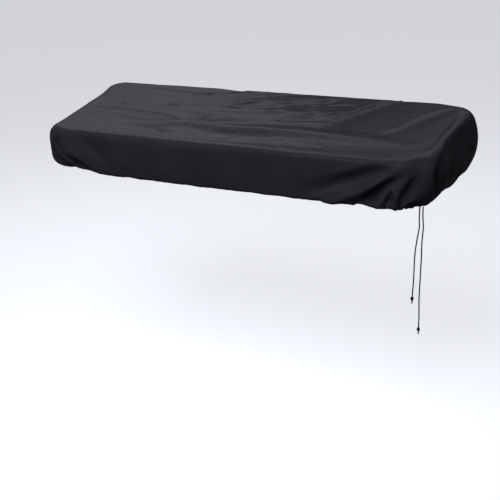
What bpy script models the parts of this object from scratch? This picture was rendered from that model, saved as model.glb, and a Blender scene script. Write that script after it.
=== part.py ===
"""Piano cover: one sheet of cloth with a gathered hem, and the two ends of its drawstring.

The cloth is a hollow shell, open below. Its plan is a rectangle with soft, unequal corners. Its top
slopes up to the rear, its walls hang from a rounded edge, and the hem is drawn in under them.
Metres. +X runs to the right end, +Y to the rear, +Z up. The origin is on the underside of the cloth,
at the middle of the top.
"""
import math

import bmesh
import bpy
import numpy as np

# Driving sizes of the draped cover, outside
LENGTH = 1.006
DEPTH = 0.348
FRONT_HEIGHT = 0.108
REAR_HEIGHT = 0.165
CLOTH = 0.002

# The right end stands out this much further at the rear than at the front
RIGHT_FLARE = 0.042
# The walls hang square to the sides, and fan out round each corner from a point this far inside it
CORNER_REACH = 0.085

# Each corner in plan: how far it is cut back along the length and along the depth, and its fullness (0.7
# is a round corner, less is flatter, more is squarer). Then the radius of its rounded top edge and of the
# turn at the hem, the width drawn in under it, and how far the drawstring lifts the hem there
CORNERS = {
    "front_left": dict(along=0.026, across=0.030, fullness=0.75, edge=0.010, turn=0.020, tuck=0.024,
                       lift=0.011),
    "front_right": dict(along=0.066, across=0.086, fullness=0.50, edge=0.030, turn=0.018, tuck=0.004,
                        lift=0.000),
    "rear_right": dict(along=0.042, across=0.050, fullness=0.75, edge=0.034, turn=0.022, tuck=0.022,
                       lift=0.004),
    "rear_left": dict(along=0.045, across=0.045, fullness=0.75, edge=0.012, turn=0.022, tuck=0.024,
                      lift=0.006),
}

# Each wall's section: radius of the rounded top edge, its angle below the horizontal at the top and at
# the bottom of the hanging part, and then the same three sizes of its hem
WALLS = {
    "front": dict(edge=0.006, top_angle=88, low_angle=93, turn=0.010, tuck=0.026, lift=0.000),
    "right": dict(edge=0.034, top_angle=59, low_angle=130, turn=0.024, tuck=0.022, lift=0.002),
    "rear": dict(edge=0.012, top_angle=84, low_angle=97, turn=0.014, tuck=0.026, lift=0.000),
    "left": dict(edge=0.010, top_angle=72, low_angle=98, turn=0.016, tuck=0.024, lift=0.002),
}
HEM_ANGLE = 200

# Soft rolls and creases of the top. Each path is in plan, its heights above the plain slope are spread
# evenly from its start to its end, and its reach is how far it dies out on its front and its rear side
TOP_FOLDS = [
    dict(path=[(-0.43, -0.136), (-0.10, -0.134), (0.18, -0.127), (0.40, -0.130)],
         height=(-0.002, -0.004), reach=(0.030, 0.026)),
    dict(path=[(-0.42, -0.084), (-0.15, -0.082), (0.12, -0.080), (0.40, -0.084)],
         height=(0.004, 0.007), reach=(0.026, 0.040)),
    dict(path=[(-0.44, 0.004), (-0.27, -0.006), (-0.13, -0.048), (0.01, -0.034), (0.17, -0.038)],
         height=(-0.004, -0.006), reach=(0.030, 0.045)),
    dict(path=[(0.150, -0.070), (0.212, 0.014), (0.246, 0.086), (0.266, 0.130)],
         height=(0.006, 0.003), reach=(0.018, 0.044)),
    dict(path=[(0.312, -0.060), (0.361, 0.018), (0.398, 0.076), (0.424, 0.122)],
         height=(0.005, 0.003), reach=(0.016, 0.044)),
    dict(path=[(-0.36, 0.150), (-0.22, 0.138), (-0.10, 0.160)],
         height=(-0.004, -0.003), reach=(0.020, 0.024)),
    dict(path=[(-0.06, 0.060), (0.05, 0.084), (0.15, 0.130)],
         height=(-0.003, -0.004), reach=(0.030, 0.030)),
]

# Folds of the walls, in the same way. Each path gives the distance along the wall from the middle of its
# side, going round to the right, and the rise from the bottom of the wall. Reach is below and above it
WALL_FOLDS = [
    # the gathers swept round the front left corner, from the smooth front panel outwards
    dict(side="front", path=[(-0.441, 0.106), (-0.434, 0.064), (-0.402, 0.045), (-0.337, 0.010)],
         height=(0.003, 0.007, 0.001), reach=(0.016, 0.050)),
    dict(side="front", path=[(-0.464, 0.106), (-0.449, 0.060), (-0.417, 0.034), (-0.345, 0.002)],
         height=(-0.007, -0.012, -0.003), reach=(0.020, 0.018)),
    dict(side="front", path=[(-0.500, 0.090), (-0.480, 0.046), (-0.440, 0.014), (-0.390, 0.000)],
         height=(0.002, 0.006, 0.000), reach=(0.018, 0.018)),
    # the folds that spread from the front right corner, and the upright edge at its far side
    dict(side="front", path=[(0.388, 0.106), (0.308, 0.070), (0.190, 0.024), (0.120, 0.000)],
         height=(-0.003, -0.009, 0.000), reach=(0.028, 0.024)),
    dict(side="front", path=[(0.428, 0.100), (0.365, 0.070), (0.313, 0.032), (0.286, 0.000)],
         height=(0.000, 0.008, 0.000), reach=(0.022, 0.022)),
    dict(side="front", path=[(0.452, 0.090), (0.404, 0.056), (0.366, 0.024), (0.350, 0.000)],
         height=(-0.001, -0.009, -0.001), reach=(0.022, 0.022)),
    dict(side="front", path=[(0.478, 0.080), (0.446, 0.046), (0.424, 0.004)],
         height=(0.000, 0.006, 0.001), reach=(0.024, 0.024)),
    dict(side="front", path=[(0.522, 0.100), (0.520, 0.050), (0.514, 0.010)],
         height=(0.005, 0.004), reach=(0.026, 0.026)),
    # the right end
    dict(side="right", path=[(-0.040, 0.100), (-0.044, 0.060), (-0.036, 0.000)],
         height=(-0.002, -0.006), reach=(0.018, 0.018)),
    dict(side="right", path=[(0.030, 0.080), (0.020, 0.040), (0.024, -0.010)],
         height=(0.002, 0.006), reach=(0.024, 0.024)),
    dict(side="right", path=[(0.095, 0.060), (0.088, 0.030), (0.092, -0.012)],
         height=(-0.002, -0.006), reach=(0.022, 0.022)),
    # the rear
    dict(side="rear", path=[(-0.450, 0.130), (-0.400, 0.070), (-0.370, -0.006)],
         height=(0.003, 0.007), reach=(0.024, 0.024)),
    dict(side="rear", path=[(-0.390, 0.110), (-0.350, 0.060), (-0.325, -0.006)],
         height=(-0.002, -0.006), reach=(0.022, 0.022)),
    dict(side="rear", path=[(-0.120, 0.090), (-0.090, 0.040), (-0.080, -0.006)],
         height=(0.001, 0.005), reach=(0.040, 0.040)),
    dict(side="rear", path=[(0.130, 0.100), (0.150, 0.050), (0.158, -0.006)],
         height=(-0.001, -0.005), reach=(0.036, 0.036)),
    dict(side="rear", path=[(0.440, 0.130), (0.410, 0.070), (0.388, -0.006)],
         height=(0.003, 0.007), reach=(0.024, 0.024)),
    dict(side="rear", path=[(0.400, 0.100), (0.366, 0.050), (0.350, -0.006)],
         height=(-0.002, -0.006), reach=(0.022, 0.022)),
    # the left end
    dict(side="left", path=[(-0.070, 0.110), (-0.060, 0.050), (-0.064, -0.010)],
         height=(0.002, 0.006), reach=(0.024, 0.024)),
    dict(side="left", path=[(0.000, 0.090), (0.004, 0.040), (0.000, -0.010)],
         height=(-0.002, -0.006), reach=(0.022, 0.022)),
    dict(side="left", path=[(0.080, 0.090), (0.070, 0.040), (0.060, -0.010)],
         height=(0.002, 0.006), reach=(0.022, 0.022)),
]

# The gathers that the drawstring makes in the hem: their spacing, where they start and their height,
# the height over which they die out up the wall, and how much stronger they are at the corners
GATHERS = [
    dict(spacing=0.083, start=0.010, height=0.0008),
    dict(spacing=0.056, start=0.031, height=0.0006),
]
GATHER_REACH = 0.045
CORNER_GATHERS = 3.5
GATHER_CORNER = 0.110

# How finely the sheet is divided: cells along the length and across the depth, and what share of them
# lies within each share of the way from the left and from the front. They crowd where it folds most
CELLS_LONG = 58
CELLS_ACROSS = 13
SPREAD_LONG = [(0.0, 0.0), (0.15, 0.22), (0.60, 0.48), (1.0, 1.0)]
SPREAD_ACROSS = [(0.0, 0.0), (0.20, 0.26), (0.80, 0.74), (1.0, 1.0)]
CORNER_STEPS = 8
# Rows of the wall from the crown of the top down to the rim of the hem
ROWS = {"edge": 3, "hanging": 7, "turn": 3, "tuck": 2}
PATH_STEPS = 8
CORNER_BLEND = 0.100
# How often the places inside the crown are evened out between their neighbours
GRID_EVENING = 60
CROWN_FADE = 0.016
SLOPE_PROBE = 0.006

# The drawstring is a round cord whose free ends hang from the rim of the hem, each with a knot at its
# end. Each route lists x, y and the height above the bottom of the wall, from the hem down
CORD_DIAMETER = 0.003
CORD_STEPS = 3
CORD_SIDES = 2
KNOT_WIDTH = 0.0076
KNOT_LENGTH = 0.0100
GAP = 0.0003
CORDS = {
    "front": [
        (0.4552, -0.1270, 0.0031), (0.4552, -0.1270, -0.0130), (0.4559, -0.1270, -0.0280),
        (0.4571, -0.1269, -0.0420), (0.4562, -0.1268, -0.0550), (0.4546, -0.1267, -0.0690),
        (0.4532, -0.1267, -0.0830), (0.4521, -0.1268, -0.0970), (0.4515, -0.1270, -0.1120),
        (0.4514, -0.1272, -0.1270), (0.4518, -0.1274, -0.1420), (0.4523, -0.1275, -0.1570),
        (0.4526, -0.1275, -0.1720), (0.4525, -0.1274, -0.1870), (0.4522, -0.1273, -0.2020),
        (0.4519, -0.1272, -0.2170),
    ],
    "rear": [
        (0.4601, -0.1150, -0.0019), (0.4602, -0.1150, -0.0140), (0.4612, -0.1150, -0.0280),
        (0.4630, -0.1149, -0.0430), (0.4635, -0.1148, -0.0560), (0.4629, -0.1147, -0.0700),
        (0.4628, -0.1146, -0.0870), (0.4632, -0.1146, -0.1050), (0.4641, -0.1146, -0.1230),
        (0.4643, -0.1147, -0.1430), (0.4646, -0.1148, -0.1630), (0.4649, -0.1149, -0.1830),
        (0.4651, -0.1150, -0.2030), (0.4656, -0.1150, -0.2250), (0.4668, -0.1150, -0.2470),
        (0.4682, -0.1150, -0.2670), (0.4689, -0.1150, -0.2850), (0.4690, -0.1150, -0.3000),
    ],
}

BLACK_CLOTH = dict(colour=(0.020, 0.021, 0.024, 1.0), roughness=0.62)
BLACK_CORD = dict(colour=(0.012, 0.012, 0.013, 1.0), roughness=0.75)

# The corners in order round the plan, with the end and the side that each lies on, and the way that
# each side is walked
CORNER_SIDES = {"front_left": (-1, -1), "front_right": (1, -1), "rear_right": (1, 1), "rear_left": (-1, 1)}
SIDE_WAYS = {"front": (0, 1), "right": (1, 1), "rear": (0, -1), "left": (1, -1)}


def smooth_step(value):
    """0 below 0, 1 above 1 and a soft rise between."""
    value = np.clip(value, 0.0, 1.0)
    return value * value * (3.0 - 2.0 * value)


def smooth_path(points, steps):
    """A smooth curve through the points, with this many short lengths to each span."""
    points = np.array(points, dtype=float)
    points = np.vstack([2 * points[0] - points[1], points, 2 * points[-1] - points[-2]])
    t = (np.arange(steps) / steps)[:, None]
    spans = []
    for before, start, end, after in zip(points, points[1:], points[2:], points[3:]):
        bend = 2 * before - 5 * start + 4 * end - after
        twist = 3 * start - before - 3 * end + after
        spans.append(start + 0.5 * ((end - before) * t + bend * t ** 2 + twist * t ** 3))
    return np.vstack(spans + [points[-2:-1]])


def fold_height(fold, across, up):
    """Height of one fold at the places (across, up) of the surface that it lies on."""
    path = smooth_path(fold["path"], PATH_STEPS)
    start, step = path[:-1], np.diff(path, axis=0)
    length = np.hypot(step[:, 0], step[:, 1])
    offset = np.stack([across, up], axis=-1)[..., None, :] - start
    along = np.clip((offset * step).sum(-1) / length ** 2, 0.0, 1.0)
    away = offset - along[..., None] * step
    distance = np.hypot(away[..., 0], away[..., 1])
    nearest = distance.argmin(-1)[..., None]
    turn = step[:, 0] * offset[..., 1] - step[:, 1] * offset[..., 0]
    walked = (np.cumsum(length) - length + along * length) / length.sum()
    distance, turn, walked = (
        np.take_along_axis(each, nearest, -1)[..., 0] for each in (distance, turn, walked))
    reach = np.where(turn < 0, fold["reach"][0], fold["reach"][1])
    fall = np.cos(0.5 * math.pi * np.clip(distance / reach, 0.0, 1.0)) ** 2
    return fall * np.interp(walked, np.linspace(0.0, 1.0, len(fold["height"])), fold["height"])


def top_height(x, y):
    """Height of the outside of the top above the bottom of the wall."""
    slope = (REAR_HEIGHT - FRONT_HEIGHT) / DEPTH
    plain = FRONT_HEIGHT + slope * (y + DEPTH / 2)
    return plain + sum(fold_height(fold, x, y) for fold in TOP_FOLDS)


def corner_curve(name, begin, apex, finish):
    """Points round one corner, on a conic that leaves both its sides along them."""
    fullness = CORNERS[name]["fullness"]
    t = np.linspace(0.0, 1.0, 2 * CORNER_STEPS + 1)[:, None]
    weights = [(1 - t) ** 2, 2 * t * (1 - t) * fullness, t ** 2]
    return (weights[0] * begin + weights[1] * apex + weights[2] * finish) / sum(weights)


def plan_outline():
    """The outline in plan: one run of points for each side, from corner middle to corner middle."""
    curves = []
    for name, (right, rear) in CORNER_SIDES.items():
        size = CORNERS[name]
        apex = np.array([right * LENGTH / 2, rear * DEPTH / 2])
        on_long = apex - [right * size["along"], 0.0]
        on_short = apex - [0.0, rear * size["across"]]
        begin, finish = (on_short, on_long) if right == rear else (on_long, on_short)
        curves.append(corner_curve(name, begin, apex, finish))
    sides = {}
    for index, side in enumerate(WALLS):
        points = np.vstack([curves[index][CORNER_STEPS:], curves[(index + 1) % 4][:CORNER_STEPS + 1]])
        points[:, 0] += RIGHT_FLARE * smooth_step(2 * points[:, 0] / LENGTH) * points[:, 1] / DEPTH
        sides[side] = points
    return sides


def stations(side):
    """Fractions of the way along a side, in the direction in which the plan is walked."""
    if side in ("front", "rear"):
        count, spread = CELLS_LONG, SPREAD_LONG
    else:
        count, spread = CELLS_ACROSS, SPREAD_ACROSS
    way, share = zip(*spread)
    fractions = np.interp(np.linspace(0.0, 1.0, count + 1), share, way)
    return fractions if side in ("front", "right") else 1.0 - fractions[::-1]


def walk_outline():
    """Places once round the outline, how far round each is, and each side's start and middle."""
    places, distance, starts, middles, walked = [], [], [], {}, 0.0
    for side, points in plan_outline().items():
        run = np.concatenate([[0.0], np.cumsum(np.hypot(*np.diff(points, axis=0).T))])
        at = stations(side) * run[-1]
        placed = np.stack([np.interp(at, run, points[:, axis]) for axis in (0, 1)], axis=-1)
        axis, way = SIDE_WAYS[side]
        middles[side] = walked + np.interp(0.0, way * points[:, axis], run)
        starts.append(walked)
        places.append(placed[:-1])
        distance.append(walked + at[:-1])
        walked += run[-1]
    return np.vstack(places), np.concatenate(distance), starts, middles, walked


def round_gap(distance, place, total):
    """How far round the outline each distance is from one place, the shorter way."""
    return np.abs((distance - place + total / 2) % total - total / 2)


def wall_sizes(distance, starts, total):
    """Every wall size at each distance round, blended from side to side at the corners."""
    sizes = {key: np.zeros(distance.shape) for key in WALLS["front"]}
    for side, start, end in zip(WALLS, starts, starts[1:] + [total]):
        share = np.zeros(distance.shape)
        for lap in (-total, 0.0, total):
            after_start = smooth_step((distance + lap - start) / CORNER_BLEND + 0.5)
            before_end = smooth_step((end - distance - lap) / CORNER_BLEND + 0.5)
            share += after_start * before_end
        for key, value in WALLS[side].items():
            sizes[key] += share * value
    for corner, start in zip(CORNERS.values(), starts):
        near = smooth_step(1.0 - round_gap(distance, start, total) / CORNER_BLEND)
        for key in ("edge", "turn", "tuck", "lift"):
            sizes[key] += near * (corner[key] - sizes[key])
    return sizes


def wall_direction(places):
    """The level way out of the wall at each place, fanned round the corners."""
    inner = np.array([LENGTH / 2, DEPTH / 2]) - CORNER_REACH
    away = places - np.clip(places, -inner, inner)
    return away / np.hypot(away[:, 0], away[:, 1])[:, None]


def wall_section(sizes, height, top_angle):
    """Each row of the wall below the crown: how far out and down it is, its angle and its length."""
    top, low = np.radians(sizes["top_angle"]), np.radians(sizes["low_angle"])
    edge_drop = sizes["edge"] * (np.cos(top_angle) - np.cos(top))
    turn_drop = sizes["turn"] * (np.cos(low) + 1.0)
    hanging_drop = height - sizes["lift"] - edge_drop - turn_drop
    hanging = hanging_drop * (low - top) / (np.cos(top) - np.cos(low))
    hem = math.radians(HEM_ANGLE)
    parts = [
        (ROWS["edge"], top_angle, top, sizes["edge"] * (top - top_angle)),
        (ROWS["hanging"], top, low, hanging),
        (ROWS["turn"], low, math.pi, sizes["turn"] * (math.pi - low)),
        (ROWS["tuck"], math.pi, hem, sizes["tuck"]),
    ]
    bottom = sum(length for _, _, _, length in parts[:3])
    out, drop, run = np.zeros(height.shape), np.zeros(height.shape), np.zeros(height.shape)
    rows = []
    for count, begin, end, length in parts:
        for row in range(count):
            middle = begin + (end - begin) * (row + 0.5) / count
            out = out + np.cos(middle) * length / count
            drop = drop + np.sin(middle) * length / count
            run = run + length / count
            angle = begin + (end - begin) * (row + 1) / count
            rows.append((out, drop, angle, run, bottom - run))
    return rows


def wall_relief(distance, rise, middles, starts, total):
    """Height of the folds and gathers over the plain wall, at each distance round and rise up it."""
    relief = np.zeros(distance.shape)
    for fold in WALL_FOLDS:
        across = (distance - middles[fold["side"]] + total / 2) % total - total / 2
        relief += fold_height(fold, across, rise)
    to_corner = np.min([round_gap(distance, start, total) for start in starts], axis=0)
    strength = 1.0 + (CORNER_GATHERS - 1.0) * smooth_step(1.0 - to_corner / GATHER_CORNER)
    fade = smooth_step(1.0 - rise / GATHER_REACH)
    for gather in GATHERS:
        laps = round(total / gather["spacing"])
        wave = np.sin(2 * math.pi * laps * (distance - gather["start"]) / total)
        relief += gather["height"] * wave * strength * fade
    return relief


def cloth_points():
    """The crown of the top once round, and the rows of the wall below it."""
    places, distance, starts, middles, total = walk_outline()
    sizes = wall_sizes(distance, starts, total)
    away = wall_direction(places)
    crown = places - away * sizes["edge"][:, None]
    height = top_height(crown[:, 0], crown[:, 1])
    behind = crown - away * SLOPE_PROBE
    start_angle = np.arctan((top_height(behind[:, 0], behind[:, 1]) - height) / SLOPE_PROBE)
    rows = [np.column_stack([crown, height])]
    for out, drop, angle, run, rise in wall_section(sizes, height, start_angle):
        relief = wall_relief(distance, rise, middles, starts, total) * smooth_step(run / CROWN_FADE)
        level = crown + away * (out + np.sin(angle) * relief)[:, None]
        rows.append(np.column_stack([level, height - drop + np.cos(angle) * relief]))
    return rows


def top_grid(crown):
    """The places inside the crown, spread between its four sides, as rows from front to rear."""
    loop = np.vstack([crown, crown[:1]])[:, :2]
    turns = np.cumsum([0, CELLS_LONG, CELLS_ACROSS, CELLS_LONG, CELLS_ACROSS])
    front, right, rear, left = (loop[begin:end + 1] for begin, end in zip(turns, turns[1:]))
    rear, left = rear[::-1], left[::-1]
    u, v = stations("front")[None, :, None], stations("right")[:, None, None]
    sides = (1 - v) * front[None] + v * rear[None] + (1 - u) * left[:, None] + u * right[:, None]
    corners = ((1 - u) * (1 - v) * front[0] + u * (1 - v) * front[-1]
               + (1 - u) * v * rear[0] + u * v * rear[-1])
    plan = sides - corners
    for _ in range(GRID_EVENING):
        beside = plan[:-2, 1:-1] + plan[2:, 1:-1] + plan[1:-1, :-2] + plan[1:-1, 2:]
        plan[1:-1, 1:-1] = beside / 4
    return np.dstack([plan, top_height(plan[..., 0], plan[..., 1])])


def crown_index():
    """Row and column in the top's grid of each place round the crown."""
    front = [(0, column) for column in range(CELLS_LONG)]
    right = [(row, CELLS_LONG) for row in range(CELLS_ACROSS)]
    rear = [(CELLS_ACROSS, column) for column in range(CELLS_LONG, 0, -1)]
    left = [(row, 0) for row in range(CELLS_ACROSS, 0, -1)]
    return front + right + rear + left


def make_cloth(collection, underside):
    """The sheet itself, as an open surface given the thickness of the cloth on its inner side."""
    rows = cloth_points()
    grid = top_grid(rows[0])
    mesh = bmesh.new()
    top = [[mesh.verts.new(point - [0.0, 0.0, underside]) for point in row] for row in grid]
    for front, rear in zip(top, top[1:]):
        for column in range(len(front) - 1):
            mesh.faces.new((front[column], front[column + 1], rear[column + 1], rear[column]))
    above = [top[row][column] for row, column in crown_index()]
    for row in rows[1:]:
        below = [mesh.verts.new(point - [0.0, 0.0, underside]) for point in row]
        for here in range(len(row)):
            after = (here + 1) % len(row)
            mesh.faces.new((above[here], below[here], below[after], above[after]))
        above = below
    cloth = new_mesh_object("cover_cloth", mesh, BLACK_CLOTH, collection)
    shell = cloth.modifiers.new("cloth thickness", "SOLIDIFY")
    shell.thickness = CLOTH
    shell.offset = -1.0
    return cloth


def make_material(name, look):
    """A plain finish for one part."""
    material = bpy.data.materials.new(name)
    material.use_nodes = True
    surface = material.node_tree.nodes["Principled BSDF"]
    surface.inputs["Base Color"].default_value = look["colour"]
    surface.inputs["Roughness"].default_value = look["roughness"]
    surface.inputs["Metallic"].default_value = 0.0
    return material


def new_mesh_object(name, mesh, look, collection):
    """An object of its own from a finished bmesh, smooth and with its own material."""
    data = bpy.data.meshes.new(name)
    mesh.to_mesh(data)
    mesh.free()
    data.shade_smooth()
    data.materials.append(make_material(name, look))
    result = bpy.data.objects.new(name, data)
    collection.objects.link(result)
    return result


def make_cord(end, route, collection, underside):
    """One free end of the drawstring, as a round cord along its route."""
    curve = bpy.data.curves.new(f"drawstring_{end}", "CURVE")
    curve.dimensions = "3D"
    curve.bevel_depth = CORD_DIAMETER / 2
    curve.bevel_resolution = CORD_SIDES
    curve.use_fill_caps = True
    points = smooth_path(route, CORD_STEPS)
    spline = curve.splines.new("POLY")
    spline.points.add(len(points) - 1)
    for target, (x, y, height) in zip(spline.points, points):
        target.co = (x, y, height - underside, 1.0)
    curve.materials.append(make_material(f"drawstring_{end}", BLACK_CORD))
    cord = bpy.data.objects.new(f"drawstring_{end}", curve)
    collection.objects.link(cord)


def make_knot(end, route, collection, underside):
    """The knot just below the end of one cord."""
    x, y, height = route[-1]
    mesh = bmesh.new()
    bmesh.ops.create_uvsphere(mesh, u_segments=12, v_segments=8, radius=0.5)
    bmesh.ops.scale(mesh, vec=(KNOT_WIDTH, KNOT_WIDTH, KNOT_LENGTH), verts=mesh.verts)
    knot = new_mesh_object(f"knot_{end}", mesh, BLACK_CORD, collection)
    knot.location = (x, y, height - underside - GAP - KNOT_LENGTH / 2)


def main():
    for old in list(bpy.data.objects):
        bpy.data.objects.remove(old)
    collection = bpy.data.collections.new("piano cover")
    bpy.context.scene.collection.children.link(collection)
    underside = float(top_height(np.zeros(1), np.zeros(1))[0]) - CLOTH
    make_cloth(collection, underside)
    for end, route in CORDS.items():
        make_cord(end, route, collection, underside)
        make_knot(end, route, collection, underside)


main()
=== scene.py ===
"""Piano cover: the draped sheet with all its folds, the stitching of its hem and the drawstring's ends.

Everything is in metres, in the frame of the solids: the origin is on the underside of the cloth at the
middle of the top, +X runs to the right end, +Y to the rear and +Z up. The cloth is laid out from the same
sizes as its solid, in far smaller cells, with the sharper creases, the small wrinkles and the gathers
that only show close up.
"""

import math
import random

import bmesh
import bpy
import numpy as np
from mathutils import Matrix, Vector


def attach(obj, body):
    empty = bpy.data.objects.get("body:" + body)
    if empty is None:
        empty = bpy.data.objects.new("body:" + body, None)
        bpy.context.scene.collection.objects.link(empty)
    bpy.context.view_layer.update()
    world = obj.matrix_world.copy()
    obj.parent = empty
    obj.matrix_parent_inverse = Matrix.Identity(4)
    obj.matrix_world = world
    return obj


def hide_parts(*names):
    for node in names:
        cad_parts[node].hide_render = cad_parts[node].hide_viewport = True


# ---- sizes of the draped cover

LENGTH = 1.006
DEPTH = 0.348
FRONT_HEIGHT = 0.108
REAR_HEIGHT = 0.165
# The frame's origin, on the underside of the solid's top, is this high above the bottom of the wall
UNDERSIDE = 0.1338127

# The right end stands out this much further at the rear than at the front
RIGHT_FLARE = 0.042
# The walls hang square to the sides, and fan out round each corner from a point this far inside it
CORNER_REACH = 0.085

# Each corner in plan: how far it is cut back along the length and along the depth, and its fullness.
# Then the radius of its rounded top edge and of the turn at the hem, the width drawn in under it, and
# how far the drawstring lifts the hem there
CORNERS = {
    "front_left": dict(along=0.026, across=0.03, fullness=0.75, edge=0.026, turn=0.042, tuck=0.016,
                       lift=0.005),
    "front_right": dict(along=0.066, across=0.086, fullness=0.5, edge=0.034, turn=0.018, tuck=0.004,
                        lift=0),
    "rear_right": dict(along=0.042, across=0.05, fullness=0.75, edge=0.034, turn=0.022, tuck=0.022,
                       lift=0.004),
    "rear_left": dict(along=0.045, across=0.045, fullness=0.75, edge=0.012, turn=0.022, tuck=0.024,
                      lift=0.006),
}

# Each wall's section: radius of the rounded top edge, its angle below the horizontal at the top and at
# the bottom of the hanging part, and then the same three sizes of its hem
WALLS = {
    "front": dict(edge=0.008, top_angle=88, low_angle=93, turn=0.01, tuck=0.026, lift=0),
    "right": dict(edge=0.034, top_angle=59, low_angle=130, turn=0.024, tuck=0.022, lift=0.002),
    "rear": dict(edge=0.012, top_angle=84, low_angle=97, turn=0.014, tuck=0.026, lift=0),
    "left": dict(edge=0.026, top_angle=72, low_angle=98, turn=0.022, tuck=0.024, lift=0.002),
}
# Drawn in under the cover, the hem turns past the level and ends at this angle, rising inwards
HEM_ANGLE = 200

# The front edge is not equally crisp: its radius at places along the front, from the middle of it
FRONT_EDGE_PLACES = [-0.44, -0.34, -0.22, -0.1, 0.04, 0.2, 0.38, 0.44]
FRONT_EDGE_RADII = [0.016, 0.018, 0.024, 0.022, 0.015, 0.012, 0.014, 0.02]

# ---- folds, creases and gathers

# Each fold follows a path. Its heights above the plain surface are spread evenly along the path, and its
# reach is how far it dies out on the right and on the left of the path. Paths of the top are in plan
TOP_FOLDS = [
    # the long hollow just behind the front edge, and the dent at its left end
    dict(path=[(-0.43, -0.138), (-0.1, -0.136), (0.18, -0.13), (0.39, -0.126)],
         height=(-0.001, -0.003, -0.004, -0.002, 0), reach=(0.026, 0.04)),
    dict(path=[(-0.235, -0.114), (-0.18, -0.124), (-0.13, -0.128)],
         height=(0, -0.003, 0), reach=(0.012, 0.016)),
    # the long ridge behind it, steeper to the front, and the narrow crest on its middle
    dict(path=[(-0.41, -0.092), (-0.31, -0.088), (-0.253, -0.09), (-0.203, -0.08), (-0.15, -0.07),
               (-0.092, -0.075), (-0.01, -0.081), (0.09, -0.077), (0.163, -0.072), (0.236, -0.073),
               (0.33, -0.077), (0.41, -0.08)],
         height=(0.001, 0.003, 0.006, 0.008, 0.008, 0.007, 0.005, 0.001), reach=(0.03, 0.046)),
    dict(path=[(-0.2, -0.074), (-0.15, -0.068), (-0.09, -0.072), (0, -0.078), (0.09, -0.075),
               (0.16, -0.07), (0.24, -0.071), (0.34, -0.076)],
         height=(0, 0.001, 0.001, 0.002, 0.001, 0.001, 0), reach=(0.016, 0.016)),
    # the hollow behind the ridge, which bends round at the left, and a short one behind that
    dict(path=[(-0.44, 0.01), (-0.344, 0.004), (-0.282, 0.002), (-0.218, -0.006), (-0.175, -0.026),
               (-0.115, -0.036), (-0.036, -0.032), (0.067, -0.022), (0.16, -0.026)],
         height=(-0.002, -0.004, -0.006, -0.007, -0.006, -0.003), reach=(0.034, 0.044)),
    dict(path=[(0.03, 0.006), (0.103, 0.006), (0.152, 0.012), (0.215, 0.018)],
         height=(0, -0.004, -0.004, -0.001), reach=(0.012, 0.026)),
    # two creases that run back from the ridge: the cloth drops sharply on their left side and rises slowly
    # on their right. The first is doubled towards the rear
    dict(path=[(0.171, -0.054), (0.191, -0.027), (0.211, 0.001), (0.227, 0.028), (0.243, 0.056),
               (0.26, 0.084), (0.277, 0.11), (0.296, 0.133), (0.321, 0.151)],
         height=(0, -0.004, -0.0045, -0.006, -0.006, -0.002), reach=(0.054, 0.022)),
    dict(path=[(0.236, 0.08), (0.253, 0.106), (0.272, 0.13), (0.292, 0.148)],
         height=(0, 0.001, 0.001, 0), reach=(0.008, 0.008)),
    dict(path=[(0.329, -0.056), (0.346, -0.041), (0.362, -0.015), (0.38, 0.005), (0.395, 0.037),
               (0.411, 0.067), (0.428, 0.094), (0.452, 0.124)],
         height=(0, -0.0025, -0.003, -0.003, -0.001), reach=(0.036, 0.013)),
    # shallow hollows near the rear edge
    dict(path=[(-0.36, 0.15), (-0.22, 0.138), (-0.1, 0.16)],
         height=(-0.003, -0.003), reach=(0.02, 0.024)),
    dict(path=[(-0.06, 0.06), (0.05, 0.084), (0.15, 0.13)], height=(-0.003, -0.004), reach=(0.03, 0.03)),
]

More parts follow.
